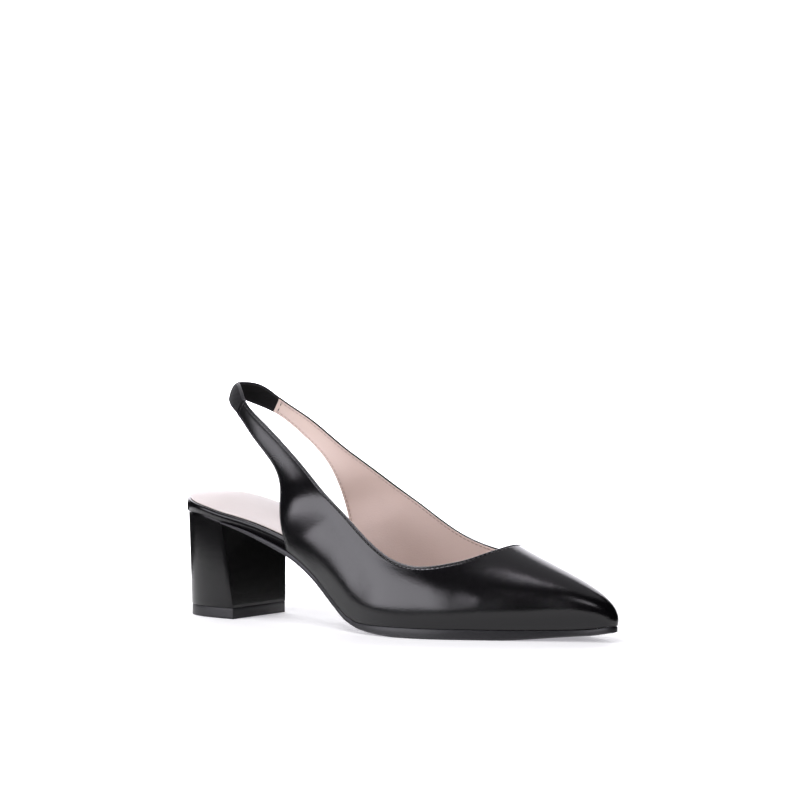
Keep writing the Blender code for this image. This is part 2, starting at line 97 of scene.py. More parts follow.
# Plan of the last's bottom, back to toe. Sides are shares of half the seat's or the ball's width.
Plan = namedtuple("Plan", "along lateral medial")
SEAT_PLAN = [
    Plan(0.004, 0.00, 0.00),
    Plan(0.012, 0.44, 0.44),
    Plan(0.043, 0.80, 0.80),
    Plan(0.105, 0.99, 0.99),
    Plan(0.200, 0.98, 0.97),
]
# Each row from here on is also a section of the upper, so it starts at the quarter's rear foot.
FRONT_PLAN = [
    Plan(0.314, 0.675, 0.655),
    Plan(0.395, 0.720, 0.645),
    Plan(0.478, 0.825, 0.725),
    Plan(0.566, 0.960, 0.880),
    Plan(0.655, 0.950, 1.000),
    Plan(0.750, 0.700, 0.930),
    Plan(0.845, 0.370, 0.680),
    Plan(0.925, 0.090, 0.425),
    Plan(0.980, -0.050, 0.235),
    Plan(1.000, -0.115, 0.115),
]

# Height of the last's bottom: shares of the seat's rise over the forefoot, and of the toe spring
Rise = namedtuple("Rise", "along seat spring")
RISES = [
    Rise(0.000, 1.000, 0.00),
    Rise(0.081, 0.980, 0.00),
    Rise(0.142, 0.915, 0.00),
    Rise(0.202, 0.845, 0.00),
    Rise(0.262, 0.752, 0.00),
    Rise(0.323, 0.632, 0.00),
    Rise(0.384, 0.440, 0.00),
    Rise(0.444, 0.190, 0.00),
    Rise(0.480, 0.064, 0.00),
    Rise(0.520, 0.008, 0.00),
    Rise(0.566, 0.000, 0.00),
    Rise(0.790, 0.000, 0.00),
    Rise(0.900, 0.000, 0.12),
    Rise(0.960, 0.000, 0.40),
    Rise(1.000, 0.000, 1.00),
]

# Sections behind the foot: the rear edge below, the topline above, from the middle of the
# back to just above the quarter's rear foot. Along is a share of the last's length, out of
# the ball's width, up of the strap's height; swells push the wall out, in ball widths.
Sling = namedtuple("Sling", "low_along low_out low_up top_along top_out top_up facing swell")
SLING = [
    Sling(0.083, 0.000, 1.006, 0.103, 0.000, 1.075, 180.0, 0.000),
    Sling(0.103, 0.112, 0.978, 0.126, 0.100, 1.066, 125.0, 0.002),
    Sling(0.145, 0.194, 0.930, 0.163, 0.190, 1.001, 104.0, 0.004),
    Sling(0.207, 0.266, 0.822, 0.231, 0.256, 0.900, 102.0, 0.006),
    Sling(0.258, 0.286, 0.717, 0.305, 0.290, 0.781, 98.0, 0.010),
    Sling(0.283, 0.308, 0.617, 0.364, 0.341, 0.688, 96.0, 0.014),
    Sling(0.295, 0.359, 0.487, 0.413, 0.387, 0.610, 94.0, 0.020),
]

# Sections over the foot, one for each row of FRONT_PLAN. The medial topline is a little higher.
Vamp = namedtuple("Vamp", "top_along top_out top_up medial_up facing low_swell top_swell")
VAMP = [
    Vamp(0.459, 0.422, 0.538, 0.542, 92.0, 0.002, 0.004),
    Vamp(0.507, 0.450, 0.459, 0.469, 88.0, 0.022, 0.016),
    Vamp(0.555, 0.475, 0.387, 0.404, 84.0, 0.038, 0.024),
    Vamp(0.602, 0.488, 0.337, 0.363, 80.0, 0.042, 0.024),
    Vamp(0.653, 0.472, 0.314, 0.341, 66.0, 0.050, 0.030),
    Vamp(0.700, 0.398, 0.324, 0.341, 56.0, 0.080, 0.040),
    Vamp(0.736, 0.308, 0.346, 0.355, 46.0, 0.128, 0.052),
    Vamp(0.759, 0.213, 0.371, 0.369, 34.0, 0.190, 0.064),
    Vamp(0.774, 0.110, 0.391, 0.384, 18.0, 0.258, 0.078),
    Vamp(0.781, 0.000, 0.400, 0.400, 0.0, 0.297, 0.088),
]
THROAT_SWING = 0.0025
LOW_SWELL_LIFT = 0.15

# Thicknesses along the last, as shares of its length
Depth = namedtuple("Depth", "along depth")
INSOLE_DEPTHS = [
    Depth(0.000, INSOLE_BACK),
    Depth(0.100, INSOLE_SEAT),
    Depth(0.314, INSOLE_WAIST),
    Depth(0.500, INSOLE_FRONT),
    Depth(1.000, INSOLE_FRONT),
]
CUSHION_RISES = [
    Depth(0.000, 0.8 * CUSHION_RISE),
    Depth(0.080, CUSHION_RISE),
    Depth(0.280, 0.0),
    Depth(1.000, 0.0),
]
SOCK_RIMS = [
    Depth(0.000, SOCK_RIM),
    Depth(0.314, SOCK_RIM),
    Depth(0.450, SOCK_INNER_RIM),
    Depth(1.000, SOCK_INNER_RIM),
]
SOLE_DEPTHS = [
    Depth(0.142, SOLE_SKIVE),
    Depth(0.314, SOLE_SHANK),
    Depth(0.480, SOLE_SHANK),
    Depth(0.620, SOLE_FRONT),
    Depth(0.800, SOLE_FRONT),
    Depth(0.950, SOLE_TOE),
    Depth(1.000, SOLE_TOE),
]
# How far the outsole reaches past the last's bottom: out to the upper's face, from the waist on
SOLE_REACHES = [
    Depth(0.142, 0.0),
    Depth(0.314, GAP + UPPER_WALL),
    Depth(1.000, GAP + UPPER_WALL),
]


def eased(stations, values):
    """Monotone cubic through the rows: it has no dips of its own, and flat runs stay flat."""
    xs = np.asarray(stations, float)
    ys = np.asarray(values, float)
    step = np.diff(xs)
    rate = np.diff(ys) / step
    slope = np.zeros(len(xs))
    for i in range(1, len(xs) - 1):
        if rate[i - 1] * rate[i] > 0:
            before = 2 * step[i] + step[i - 1]
            after = step[i] + 2 * step[i - 1]
            slope[i] = (before + after) / (before / rate[i - 1] + after / rate[i])
    slope[0], slope[-1] = rate[0], rate[-1]

    def value(x):
        x = np.clip(x, xs[0], xs[-1])
        i = np.clip(np.searchsorted(xs, x, side="right") - 1, 0, len(step) - 1)
        t = (x - xs[i]) / step[i]
        return ((1 + 2 * t) * (1 - t) ** 2 * ys[i] + t * (1 - t) ** 2 * step[i] * slope[i]
                + t * t * (3 - 2 * t) * ys[i + 1] + t * t * (t - 1) * step[i] * slope[i + 1])
    return value


def spline(knots, points, closed=False):
    """Cubic spline through the points. A closed one has one knot more than it has points."""
    ks = np.asarray(knots, float)
    ps = np.asarray(points, float)
    n = len(ps)
    step = np.diff(ks)
    system = np.zeros((n, n))
    right = np.zeros_like(ps)
    for i in range(n):
        if not closed and i in (0, n - 1):
            first = min(i, n - 2)
            system[i, first] = system[i, first + 1] = 1
            system[i, i] = 2
            right[i] = 3 * (ps[first + 1] - ps[first]) / step[first]
            continue
        before, after = step[i - 1], step[i]
        j = (i + 1) % n
        system[i, i - 1] += 1 / before
        system[i, i] += 2 / before + 2 / after
        system[i, j] += 1 / after
        right[i] = 3 * ((ps[i] - ps[i - 1]) / before ** 2 + (ps[j] - ps[i]) / after ** 2)
    slope = np.linalg.solve(system, right)

    def point(s):
        s = np.atleast_1d(np.asarray(s, float))
        if closed:
            s = ks[0] + (s - ks[0]) % (ks[-1] - ks[0])
        i = np.clip(np.searchsorted(ks, s, side="right") - 1, 0, len(step) - 1)
        j = (i + 1) % n
        t = ((s - ks[i]) / step[i])[:, None]
        h = step[i][:, None]
        return ((1 + 2 * t) * (1 - t) ** 2 * ps[i] + t * (1 - t) ** 2 * h * slope[i]
                + t * t * (3 - 2 * t) * ps[j] + t * t * (t - 1) * h * slope[j])
    return point


def chord_knots(points, closed=False):
    ps = np.asarray(points, float)
    if closed:
        ps = np.vstack([ps, ps[:1]])
    return np.concatenate([[0.0], np.cumsum(np.linalg.norm(np.diff(ps, axis=0), axis=1))])


bottom_height = eased([r.along * LAST_LENGTH for r in RISES],
                      [SOLE_FRONT + r.seat * (SEAT_HEIGHT - SOLE_FRONT) + r.spring * TOE_SPRING
                       for r in RISES])


# The last's bottom as one closed curve: lateral side from the back to the toe, then the medial
def plan_loop():
    rows = [(r, SEAT_WIDTH) for r in SEAT_PLAN] + [(r, BALL_WIDTH) for r in FRONT_PLAN]
    lateral = [(r.along * LAST_LENGTH, -r.lateral * width / 2) for r, width in rows]
    medial = [(r.along * LAST_LENGTH, r.medial * width / 2) for r, width in rows]
    return lateral + medial[-2:0:-1]


PLAN = plan_loop()
PLAN_KNOTS = chord_knots(PLAN, closed=True)
plan_curve = spline(PLAN_KNOTS, PLAN, closed=True)
ROWS = len(SEAT_PLAN) + len(FRONT_PLAN)
LATERAL_FOOT = len(SEAT_PLAN)
MEDIAL_FOOT = 2 * (ROWS - 1) - LATERAL_FOOT


def outline(s, away):
    """Points of the last's bottom curve, pushed outwards by the given distance, in plan."""
    s = np.atleast_1d(np.asarray(s, float))
    nudge = 1e-5
    ahead = plan_curve(s + nudge) - plan_curve(s - nudge)
    ahead /= np.linalg.norm(ahead, axis=1)[:, None]
    outward = np.stack([ahead[:, 1], -ahead[:, 0]], axis=1)
    return plan_curve(s) + outward * np.reshape(away, (-1, 1))


# The upper's loops: one row of points round the shoe for each end and handle of a section
def facing_out(row, side):
    """The level direction that a section faces, on the lateral side (-1) or the medial (1)."""
    facing = math.radians(row.facing)
    return np.array([math.cos(facing), side * math.sin(facing), 0.0])


def side_rows(side):
    """Low end, top end and the two swells of each section, from the back to the toe."""
    rows = []
    for r in SLING:
        out = facing_out(r, side)
        low = np.array([r.low_along * LAST_LENGTH, side * r.low_out * BALL_WIDTH, r.low_up * STRAP_HEIGHT])
        top = np.array([r.top_along * LAST_LENGTH, side * r.top_out * BALL_WIDTH, r.top_up * STRAP_HEIGHT])
        rows.append((low, top, out * r.swell * BALL_WIDTH, out * r.swell * BALL_WIDTH))
    for i, r in enumerate(VAMP):
        out = facing_out(r, side)
        knot = PLAN_KNOTS[LATERAL_FOOT + i] if side < 0 else PLAN_KNOTS[MEDIAL_FOOT - i]
        foot = outline(knot, GAP + UPPER_WALL)[0]
        low = np.array([foot[0], foot[1], bottom_height(foot[0]) + GAP])
        swing = THROAT_SWING * i / (len(VAMP) - 1)
        up = r.medial_up if side > 0 else r.top_up
        across = side * r.top_out * BALL_WIDTH + swing
        top = np.array([r.top_along * LAST_LENGTH, across, up * STRAP_HEIGHT])
        low_swell = (out + np.array([0.0, 0.0, LOW_SWELL_LIFT])) * r.low_swell * BALL_WIDTH
        rows.append((low, top, low_swell, out * r.top_swell * BALL_WIDTH))
    return rows


LATERAL_ROWS = side_rows(-1)
MEDIAL_ROWS = side_rows(1)
# Round the shoe from the middle of the back: lateral side, toe, medial side
LOOP_ROWS = LATERAL_ROWS + MEDIAL_ROWS[-2:0:-1]
STRAP_END = 2
FOOT = len(SLING)
COUNT = len(LOOP_ROWS)

low_ends = np.array([r[0] for r in LOOP_ROWS])
top_ends = np.array([r[1] for r in LOOP_ROWS])
LOOP_KNOTS = (chord_knots(low_ends, closed=True) + chord_knots(top_ends, closed=True)) / 2
top_loop = spline(LOOP_KNOTS, top_ends, closed=True)
low_swells = np.array([r[2] for r in LOOP_ROWS])
top_swells = np.array([r[3] for r in LOOP_ROWS])
low_handle = spline(LOOP_KNOTS, (top_ends - low_ends) / 3 + low_swells, closed=True)
top_handle = spline(LOOP_KNOTS, (low_ends - top_ends) / 3 + top_swells, closed=True)

# The rear edge is a curve of its own, from the medial foot up over the back to the lateral foot
rear_index = list(range(FOOT, -1, -1)) + list(range(COUNT - 1, COUNT - FOOT - 1, -1))
rear_points = low_ends[rear_index]
rear_knots = np.array([LOOP_KNOTS[i] if i <= FOOT else LOOP_KNOTS[i] - LOOP_KNOTS[-1] for i in rear_index])
rear_curve = spline(rear_knots[::-1], rear_points[::-1])
front_map = eased(LOOP_KNOTS[FOOT:COUNT - FOOT + 1],
                  [PLAN_KNOTS[LATERAL_FOOT + i] for i in range(COUNT - 2 * FOOT + 1)])


SAME_PLACE = 1e-9


def low_loop(s, away):
    """Lower edge of the upper at loop places s; away is the distance out from the last."""
    s = np.atleast_1d(np.asarray(s, float))
    points = np.zeros((len(s), 3))
    for k, spot in enumerate(s):
        wrapped = spot if spot <= LOOP_KNOTS[COUNT - FOOT] + SAME_PLACE else spot - LOOP_KNOTS[-1]
        if wrapped < LOOP_KNOTS[FOOT] - SAME_PLACE:
            points[k] = rear_curve(wrapped)[0]
        else:
            x, y = outline(front_map(wrapped), away)[0]
            points[k] = x, y, bottom_height(x) + GAP
    return points


# Sections of the wall for a whole row of stations at once: the steps that its normals are read
# with, along the loop in metres and up a section as a share, and the points a section is read at
STEP_S = 1e-4
STEP_T = 1e-3
SECTION_POINTS = 241


def wall_ends(s):
    """Low end, top end and both handles of the outer face's sections at places s."""
    return low_loop(s, GAP + UPPER_WALL), top_loop(s), low_handle(s), top_handle(s)


def on_sections(ends, t):
    """Points of the sections at shares t; t has one row for each station."""
    low, top, low_turn, top_turn = (e[:, None, :] for e in ends)
    t = t[:, :, None]
    return ((1 - t) ** 3 * low + 3 * t * (1 - t) ** 2 * (low + low_turn)
            + 3 * t * t * (1 - t) * (top + top_turn) + t ** 3 * top)


class Wall:
    """The upper's wall at a row of stations: reads its outer face by distance from its edges."""

    def __init__(self, stations):
        self.s = np.asarray(stations, float)
        self.here = wall_ends(self.s)
        self.before = wall_ends(self.s - STEP_S)
        self.after = wall_ends(self.s + STEP_S)
        self.dense = np.linspace(0.0, 1.0, SECTION_POINTS)
        track = on_sections(self.here, np.tile(self.dense, (len(self.s), 1)))
        gone = np.linalg.norm(np.diff(track, axis=1), axis=2)
        self.up = np.concatenate([np.zeros((len(self.s), 1)), np.cumsum(gone, axis=1)], axis=1)
        self.height = self.up[:, -1]

    def face(self, distance):
        """Points and outward normals of the outer face at distances up from the low edge."""
        t = np.array([np.interp(d, up, self.dense) for d, up in zip(distance, self.up)])
        points = on_sections(self.here, t)
        along = on_sections(self.after, t) - on_sections(self.before, t)
        up = (on_sections(self.here, np.minimum(t + STEP_T, 1.0))
              - on_sections(self.here, np.maximum(t - STEP_T, 0.0)))
        outward = np.cross(along, up)
        outward /= np.linalg.norm(outward, axis=2)[:, :, None]
        return points, outward


FOOT_EASING = 0.004


def over_foot(s):
    """1 where the wall stands on the sole, 0 behind, eased over the quarter's rear foot."""
    inside = np.minimum(s - LOOP_KNOTS[FOOT], LOOP_KNOTS[COUNT - FOOT] - s)
    return np.clip(inside / FOOT_EASING, 0.0, 1.0)


def along_last(rows):
    """A thickness along the last from its table."""
    return eased([r.along * LAST_LENGTH for r in rows], [r.depth for r in rows])


insole_thickness = along_last(INSOLE_DEPTHS)
cushion = along_last(CUSHION_RISES)
sock_rim = along_last(SOCK_RIMS)
sole_thickness = along_last(SOLE_DEPTHS)
sole_reach = along_last(SOLE_REACHES)

PLACES_SEARCHED = 2000


def place_at(x):
    """The place on the lateral side where the plan first reaches x."""
    fine = np.linspace(0.0, PLAN_KNOTS[LATERAL_FOOT], PLACES_SEARCHED)
    return fine[np.argmax(plan_curve(fine)[:, 0] >= x)]


# Mesh helpers
MERGE = 1e-7


def place(name, points, faces, materials, slots=None, sharp=None):
    """One object of the dressed model from points measured from the seat's back."""
    mesh = bpy.data.meshes.new(name)
    moved = np.asarray(points, float) - (REST_ALONG, 0.0, 0.0)
    mesh.from_pydata(moved.tolist(), [], faces)
    for material in materials:
        mesh.materials.append(material)
    if slots is not None:
        mesh.polygons.foreach_set("material_index", slots)
    work = bmesh.new()
    work.from_mesh(mesh)
    bmesh.ops.remove_doubles(work, verts=work.verts, dist=MERGE)
    bmesh.ops.recalc_face_normals(work, faces=work.faces)
    work.to_mesh(mesh)
    work.free()
    mesh.shade_smooth()
    if sharp is not None:
        mesh.set_sharp_from_angle(angle=math.radians(sharp))
    piece = bpy.data.objects.new(name, mesh)
    bpy.context.scene.collection.objects.link(piece)
    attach(piece, "root")
    return piece


def tube(grid):
    """Points and faces of a wall whose rows are closed loops, capped at its two ends."""
    rows, columns = grid.shape[:2]
    faces = []
    for i in range(rows - 1):
        for j in range(columns):
            k = (j + 1) % columns
            faces.append((i * columns + j, (i + 1) * columns + j, (i + 1) * columns + k, i * columns + k))
    for i in (0, rows - 1):
        for j in range(columns // 2 - 1):
            a, b = i * columns + j, i * columns + j + 1
            c, d = i * columns + columns - 2 - j, i * columns + columns - 1 - j
            faces.append((a, b, c, d) if b != c else (a, b, d))
    return grid.reshape(-1, 3), faces


# Materials
class Shader:
    """A principled material with the few node chains that its surface needs."""

    def __init__(self, name, colour, roughness, **inputs):
        self.material = bpy.data.materials.new(name)
        self.material.use_nodes = True
        self.tree = self.material.node_tree
        self.main = self.tree.nodes["Principled BSDF"]
        self.fill(self.main, Base_Color=(*colour, 1.0), Roughness=roughness, **inputs)
        self.where = self.node("ShaderNodeTexCoord").outputs["Object"]
        self.last_bump = None

    def fill(self, node, **values):
        for key, value in values.items():
            node.inputs[key.replace("_", " ")].default_value = value

    def node(self, kind, **values):
        made = self.tree.nodes.new(kind)
        self.fill(made, **values)
        return made

    def link(self, a, b):
        self.tree.links.new(a, b)

    def noise(self, scale, detail, rough):
        made = self.node("ShaderNodeTexNoise", Scale=scale, Detail=detail, Roughness=rough)
        self.link(self.where, made.inputs["Vector"])
        return made.outputs["Fac"]

    def cells(self, scale):
        made = self.node("ShaderNodeTexVoronoi", Scale=scale)
        self.link(self.where, made.inputs["Vector"])
        return made.outputs["Distance"]

    def wave(self, scale, direction, distortion):
        made = self.node("ShaderNodeTexWave", Scale=scale, Distortion=distortion)
        made.bands_direction = direction
        self.link(self.where, made.inputs["Vector"])
        return made.outputs["Fac"]

    def levels(self, value, low, high, out_low, out_high):
        made = self.node("ShaderNodeMapRange", From_Min=low, From_Max=high, To_Min=out_low, To_Max=out_high)
        self.link(value, made.inputs["Value"])
        return made.outputs["Result"]

    def bump(self, height, distance, strength):
        """Adds a layer of relief on top of the ones before it."""
        made = self.node("ShaderNodeBump", Strength=strength, Distance=distance)
        self.link(height, made.inputs["Height"])
        if self.last_bump:
            self.link(self.last_bump, made.inputs["Normal"])
        self.last_bump = made.outputs["Normal"]
        self.link(self.last_bump, self.main.inputs["Normal"])

    def tint(self, value, dark, light):
        made = self.node("ShaderNodeMix")
        made.data_type = "RGBA"
        self.link(value, made.inputs["Factor"])
        colours = {socket.name: socket for socket in made.inputs if socket.type == "RGBA"}
        colours["A"].default_value = (*dark, 1.0)
        colours["B"].default_value = (*light, 1.0)
        mixed = next(socket for socket in made.outputs if socket.type == "RGBA")
        self.link(mixed, self.main.inputs["Base Color"])

    def rough(self, value, low, high):
        self.roughness = self.levels(value, 0.0, 1.0, low, high)
        self.link(self.roughness, self.main.inputs["Roughness"])

    def duller_above(self, start, end, more):
        """Adds to the roughness from one height to another."""
        parts = self.node("ShaderNodeSeparateXYZ")
        self.link(self.where, parts.inputs["Vector"])
        total = self.node("ShaderNodeMath")
        total.operation = "ADD"
        self.link(self.roughness, total.inputs[0])
        self.link(self.levels(parts.outputs["Z"], start, end, 0.0, more), total.inputs[1])
        self.link(total.outputs["Value"], self.main.inputs["Roughness"])


# Scales below are cells a metre, and each layer of relief has its height in metres and its strength
def leather(name, colour, light, low, high, grain, ior):
    """Black leather: cloudy colour and gloss, soft mottle, pebbles and pores."""
    made = Shader(name, colour, low, IOR=ior)
    made.tint(made.noise(28.0, 5.0, 0.6), colour, light)
    made.rough(made.noise(420.0, 4.0, 0.6), low, high)
    made.bump(made.noise(70.0, 3.0, 0.5), 0.0005, 0.13)
    made.bump(made.noise(230.0, 3.0, 0.6), 0.0003, 0.12)
    made.bump(made.cells(1500.0), 0.0003, grain)
    made.bump(made.noise(3200.0, 2.0, 0.6), 0.0002, grain)
    return made


INK, SHEEN_INK = (0.0012, 0.0011, 0.0015), (0.0022, 0.0020, 0.0026)
HEEL_INK, HEEL_SHEEN_INK = (0.0008, 0.0007, 0.0010), (0.0016, 0.0015, 0.0019)
UPPER_SKIN = leather("black_leather", INK, SHEEN_INK, 0.155, 0.190, 0.09, 1.48)
WRAP = leather("wrap_leather", INK, SHEEN_INK, 0.17, 0.21, 0.05, 1.42).material
HEEL_WRAP = leather("heel_leather", HEEL_INK, HEEL_SHEEN_INK, 0.18, 0.23, 0.05, 1.38).material

# The strap's leather is creased and less glossy than the quarter's
DULL_FROM = 0.070
DULL_TO = 0.084
DULL_MORE = 0.11
UPPER_SKIN.duller_above(DULL_FROM, DULL_TO, DULL_MORE)
BLACK = UPPER_SKIN.material


def kid(name, colour, light, low, high):
    """Pale lining leather with fine pores and a little nap."""
    made = Shader(name, colour, low, Sheen_Weight=0.15, Sheen_Roughness=0.5)
    made.tint(made.noise(45.0, 5.0, 0.6), colour, light)
    made.rough(made.noise(240.0, 3.0, 0.5), low, high)
    made.bump(made.cells(1100.0), 0.0003, 0.12)
    made.bump(made.noise(2600.0, 2.0, 0.6), 0.0002, 0.15)
    return made.material


LINING_SKIN = kid("lining_kid", (0.570, 0.450, 0.392), (0.635, 0.510, 0.450), 0.50, 0.62)
SOCK_SKIN = kid("sock_kid", (0.505, 0.450, 0.415), (0.555, 0.500, 0.465), 0.46, 0.58)


def woven(name, colour, light, ribs, rough):
    """Elastic webbing with ribs along it."""
    made = Shader(name, colour, rough, Sheen_Weight=0.03, Sheen_Roughness=0.4, IOR=1.35)
    made.tint(made.noise(900.0, 3.0, 0.6), colour, light)
    made.bump(made.wave(ribs, "Z", 1.0), 0.0004, 0.5)
    made.bump(made.noise(2500.0, 3.0, 0.6), 0.0003, 0.4)
    return made.material


ELASTIC_WEAVE = woven("elastic_weave", (0.0010, 0.0010, 0.0014), (0.0036, 0.0036, 0.0044), 500.0, 0.75)
# The edge material's lighter colour is a painted highlight where the rounded selvedge catches the light;
# its finer ribs and lower roughness are the selvedge's own
ELASTIC_EDGE_HIGHLIGHT = woven("elastic_edge_painted_highlight", (0.006, 0.006, 0.008), (0.013, 0.013, 0.016), 1400.0, 0.50)


def rubber(name, colour, light, low, high):
    """Moulded soling with a faint rough face."""
    made = Shader(name, colour, low, IOR=1.42)
    made.tint(made.noise(90.0, 5.0, 0.65), colour, light)
    made.rough(made.noise(300.0, 4.0, 0.6), low, high)
    made.bump(made.noise(1400.0, 4.0, 0.65), 0.0003, 0.25)
    return made.material


SOLE_EDGE = rubber("sole_edge", (0.003, 0.003, 0.004), (0.006, 0.006, 0.008), 0.30, 0.40)
SOLE_GRIP = rubber("sole_underside", (0.016, 0.016, 0.018), (0.026, 0.026, 0.028), 0.55, 0.70)
TIP_GRIP = rubber("tip_polymer", (0.004, 0.004, 0.005), (0.008, 0.008, 0.010), 0.38, 0.50)


def thread(name, colour, light):
    """Twisted thread."""
    made = Shader(name, colour, 0.55, Sheen_Weight=0.2)
    made.tint(made.noise(1800.0, 2.0, 0.5), colour, light)
    made.bump(made.wave(2600.0, "DIAGONAL", 0.5), 0.0001, 0.6)
    return made.material


BLACK_THREAD = thread("black_thread", (0.004, 0.004, 0.005), (0.010, 0.010, 0.012))
PALE_THREAD = thread("pale_thread", (0.240, 0.160, 0.125), (0.340, 0.240, 0.200))

# The upper's leather and its lining, each a thin wall of its own, and how far the seams stay in
LEATHER_WALL = 0.0010
LEATHER_ROUND = 0.0005
LINING_PLAY = 0.00003
LINING_TOP = 0.0005
LINING_LOW = 0.0004
LINING_ROUND = 0.0004
STITCH_IN = 0.0013
WALL_STEPS = 24

# Fine steps in from each edge, where the seams are pressed in, and steps round the edge itself
EDGE_STEPS = np.array([0.0, 0.12, 0.25, 0.40, 0.55, 0.70, 0.85, 1.0, 1.15, 1.35, 1.6, 2.0]) * 1e-3
TURN = np.linspace(0.0, math.pi, 9)[1:-1]


def thin_wall(wall, front, back, top_in, low_in, radius, middle, relief):
    """Closed profile loops of a thin wall between two depths, its top and low edges rounded.

    top_in and low_in set its edges in from the wall's own, and relief(wall, distance up) gives
    the depth of what is pressed into its front face.
    """
    height = wall.height[:, None]
    low_in = np.reshape(low_in, (-1, 1)) + 0 * height
    low_part = low_in + radius + EDGE_STEPS
    top_part = height - top_in - radius - EDGE_STEPS[::-1]
    share = np.linspace(0.0, 1.0, middle)[1:-1]
    centre = low_part[:, -1:] + (top_part[:, :1] - low_part[:, -1:]) * share
    up = np.concatenate([low_part, centre, top_part], axis=1)
    top_arc = height - top_in - radius + radius * np.sin(TURN)
    low_arc = low_in + radius - radius * np.sin(TURN)
    arc_depth = np.tile(front + (back - front) / 2 * (1 - np.cos(TURN)), (len(height), 1))
    distances = np.concatenate([up, top_arc, up[:, ::-1], low_arc[:, ::-1]], axis=1)
    depths = np.concatenate([front + relief(wall, up), arc_depth, np.full_like(up, back),
                             arc_depth[:, ::-1]], axis=1)
    depths = depths - stands_out(wall, distances)
    points, outward = wall.face(np.clip(distances, 0.0, height))
    return points - depths[:, :, None] * outward


def dip(distance, width):
    return np.exp(-(distance / width) ** 2)


# What is pressed into a wall's face beside its edges: how deep, how far in and how wide
Press = namedtuple("Press", "depth inset width")
TOP_GROOVE = Press(0.00016, STITCH_IN, 0.00028)
TOP_FOLD = Press(-0.00005, 0.0006, 0.0004)
REAR_GROOVE = Press(0.00014, STITCH_IN, 0.00028)
REAR_FOLD = Press(-0.00004, 0.0006, 0.0004)
LINING_SEAM_IN = STITCH_IN + 0.0002
LINING_RIM = Press(0.00026, 0.0007, 0.00045)
LINING_GROOVE = Press(-0.00012, LINING_SEAM_IN, 0.0003)
END_LINES = [Press(-0.00014, 0.0012, 0.00022), Press(-0.00014, 0.0025, 0.00022)]


def pressed(row, distance):
    return row.depth * dip(distance - row.inset, row.width)


def leather_relief(wall, up):
    """The folded edge's roll and the stitch groove beside it, along the top and behind."""
    from_top = wall.height[:, None] - up
    behind = 1 - over_foot(wall.s)[:, None]
    along_top = pressed(TOP_GROOVE, from_top) + pressed(TOP_FOLD, from_top)
    return along_top + behind * (pressed(REAR_GROOVE, up) + pressed(REAR_FOLD, up))


def lining_relief(wall, up):
    """The lining's rolled rim with the stitch groove below it, and two lines by each strap end."""
    from_end = np.minimum(wall.s - wall.s[0], wall.s[-1] - wall.s)[:, None]
    from_top = wall.height[:, None] - up
    rim = pressed(LINING_RIM, from_top) + pressed(LINING_GROOVE, from_top)
    return rim + sum(pressed(line, from_end) for line in END_LINES)


# The wall stands out along a soft line, along the middle of the strap and then above the
# feather edge, and turns under below it. One row for each section from the strap's end on.
Line = namedtuple("Line", "up out width roll")
SOFT_LINE = [
    Line(0.0064, 0.00045, 0.0042, 0.0),
    Line(0.0070, 0.00050, 0.0052, 0.0),
    Line(0.0080, 0.00045, 0.0075, 0.0),
    Line(0.0095, 0.00055, 0.0100, 0.0),
    Line(0.0108, 0.00130, 0.0130, 0.0001),
    Line(0.0120, 0.00140, 0.0135, 0.0005),
    Line(0.0138, 0.00095, 0.0110, 0.0007),
    Line(0.0124, 0.00060, 0.0070, 0.0007),
    Line(0.0095, 0.00035, 0.0055, 0.0005),
    Line(0.0078, 0.00010, 0.0055, 0.0003),
    Line(0.0075, 0.00000, 0.0055, 0.0),
]
TOP_ROLL = 0.0050
EDGE_FADE = 0.0015
LINE_KNOTS = LOOP_KNOTS[STRAP_END:STRAP_END + len(SOFT_LINE)]

# Soft folds where the vamp bends behind the toe: ridge height, place along and up the wall,
# turn in degrees, and the size across and along
Crease = namedtuple("Crease", "height s up turn across length")
CREASES = [
    Crease(0.00017, 0.2145, 0.0168, 41.0, 0.0019, 0.0045),
    Crease(-0.00010, 0.2060, 0.0190, 48.0, 0.0026, 0.0055),
    Crease(0.00008, 0.1935, 0.0215, 55.0, 0.0030, 0.0060),
]


def creased(wall, up):
    """Height of the folds at distances up the wall."""
    total = 0 * up
    for fold in CREASES:
        turn = math.radians(fold.turn)
        ahead, above = wall.s[:, None] - fold.s, up - fold.up
        along = ahead * math.cos(turn) + above * math.sin(turn)
        across = above * math.cos(turn) - ahead * math.sin(turn)
        total = total + fold.height * dip(across, fold.across) * dip(along, fold.length)
    return total


def stands_out(wall, up):
    """How far the wall stands out over its plain section, the same on both sides of the shoe."""
    half = LOOP_KNOTS[-1] / 2
    s = half - np.abs(wall.s - half)
    middle, out, width, roll = (eased(LINE_KNOTS, [getattr(r, key) for r in SOFT_LINE])(s)[:, None]
                                for key in Line._fields)
    from_top = wall.height[:, None] - up
    from_edge = np.minimum(up, from_top)
    soft = out * dip(up - middle, width) * (1 - dip(from_edge, EDGE_FADE))
    return soft - roll * dip(from_top, TOP_ROLL) + creased(wall, up)


FEATHER_DROP = 0.00025
FEATHER_REACH = 0.0006


def keep_on_sole(grid, wall):
    """Over the foot the wall ends at the feather line, its edge pressed close on the sole."""
    on = over_foot(wall.s) > 0
    height = grid[on][:, :, 2] - bottom_height(grid[on][:, :, 0]) - GAP
    grid[on, :, 2] += np.maximum(-height, 0.0) - FEATHER_DROP * dip(np.maximum(height, 0.0), FEATHER_REACH)
    return grid


# Stations along the upper, and the fine ones over the stretch at each end that has the end lines
STATION_STEP = 0.0016
FOLD_STEP = 0.0002
FOLD_REACH = END_LINES[-1].inset + 0.0012


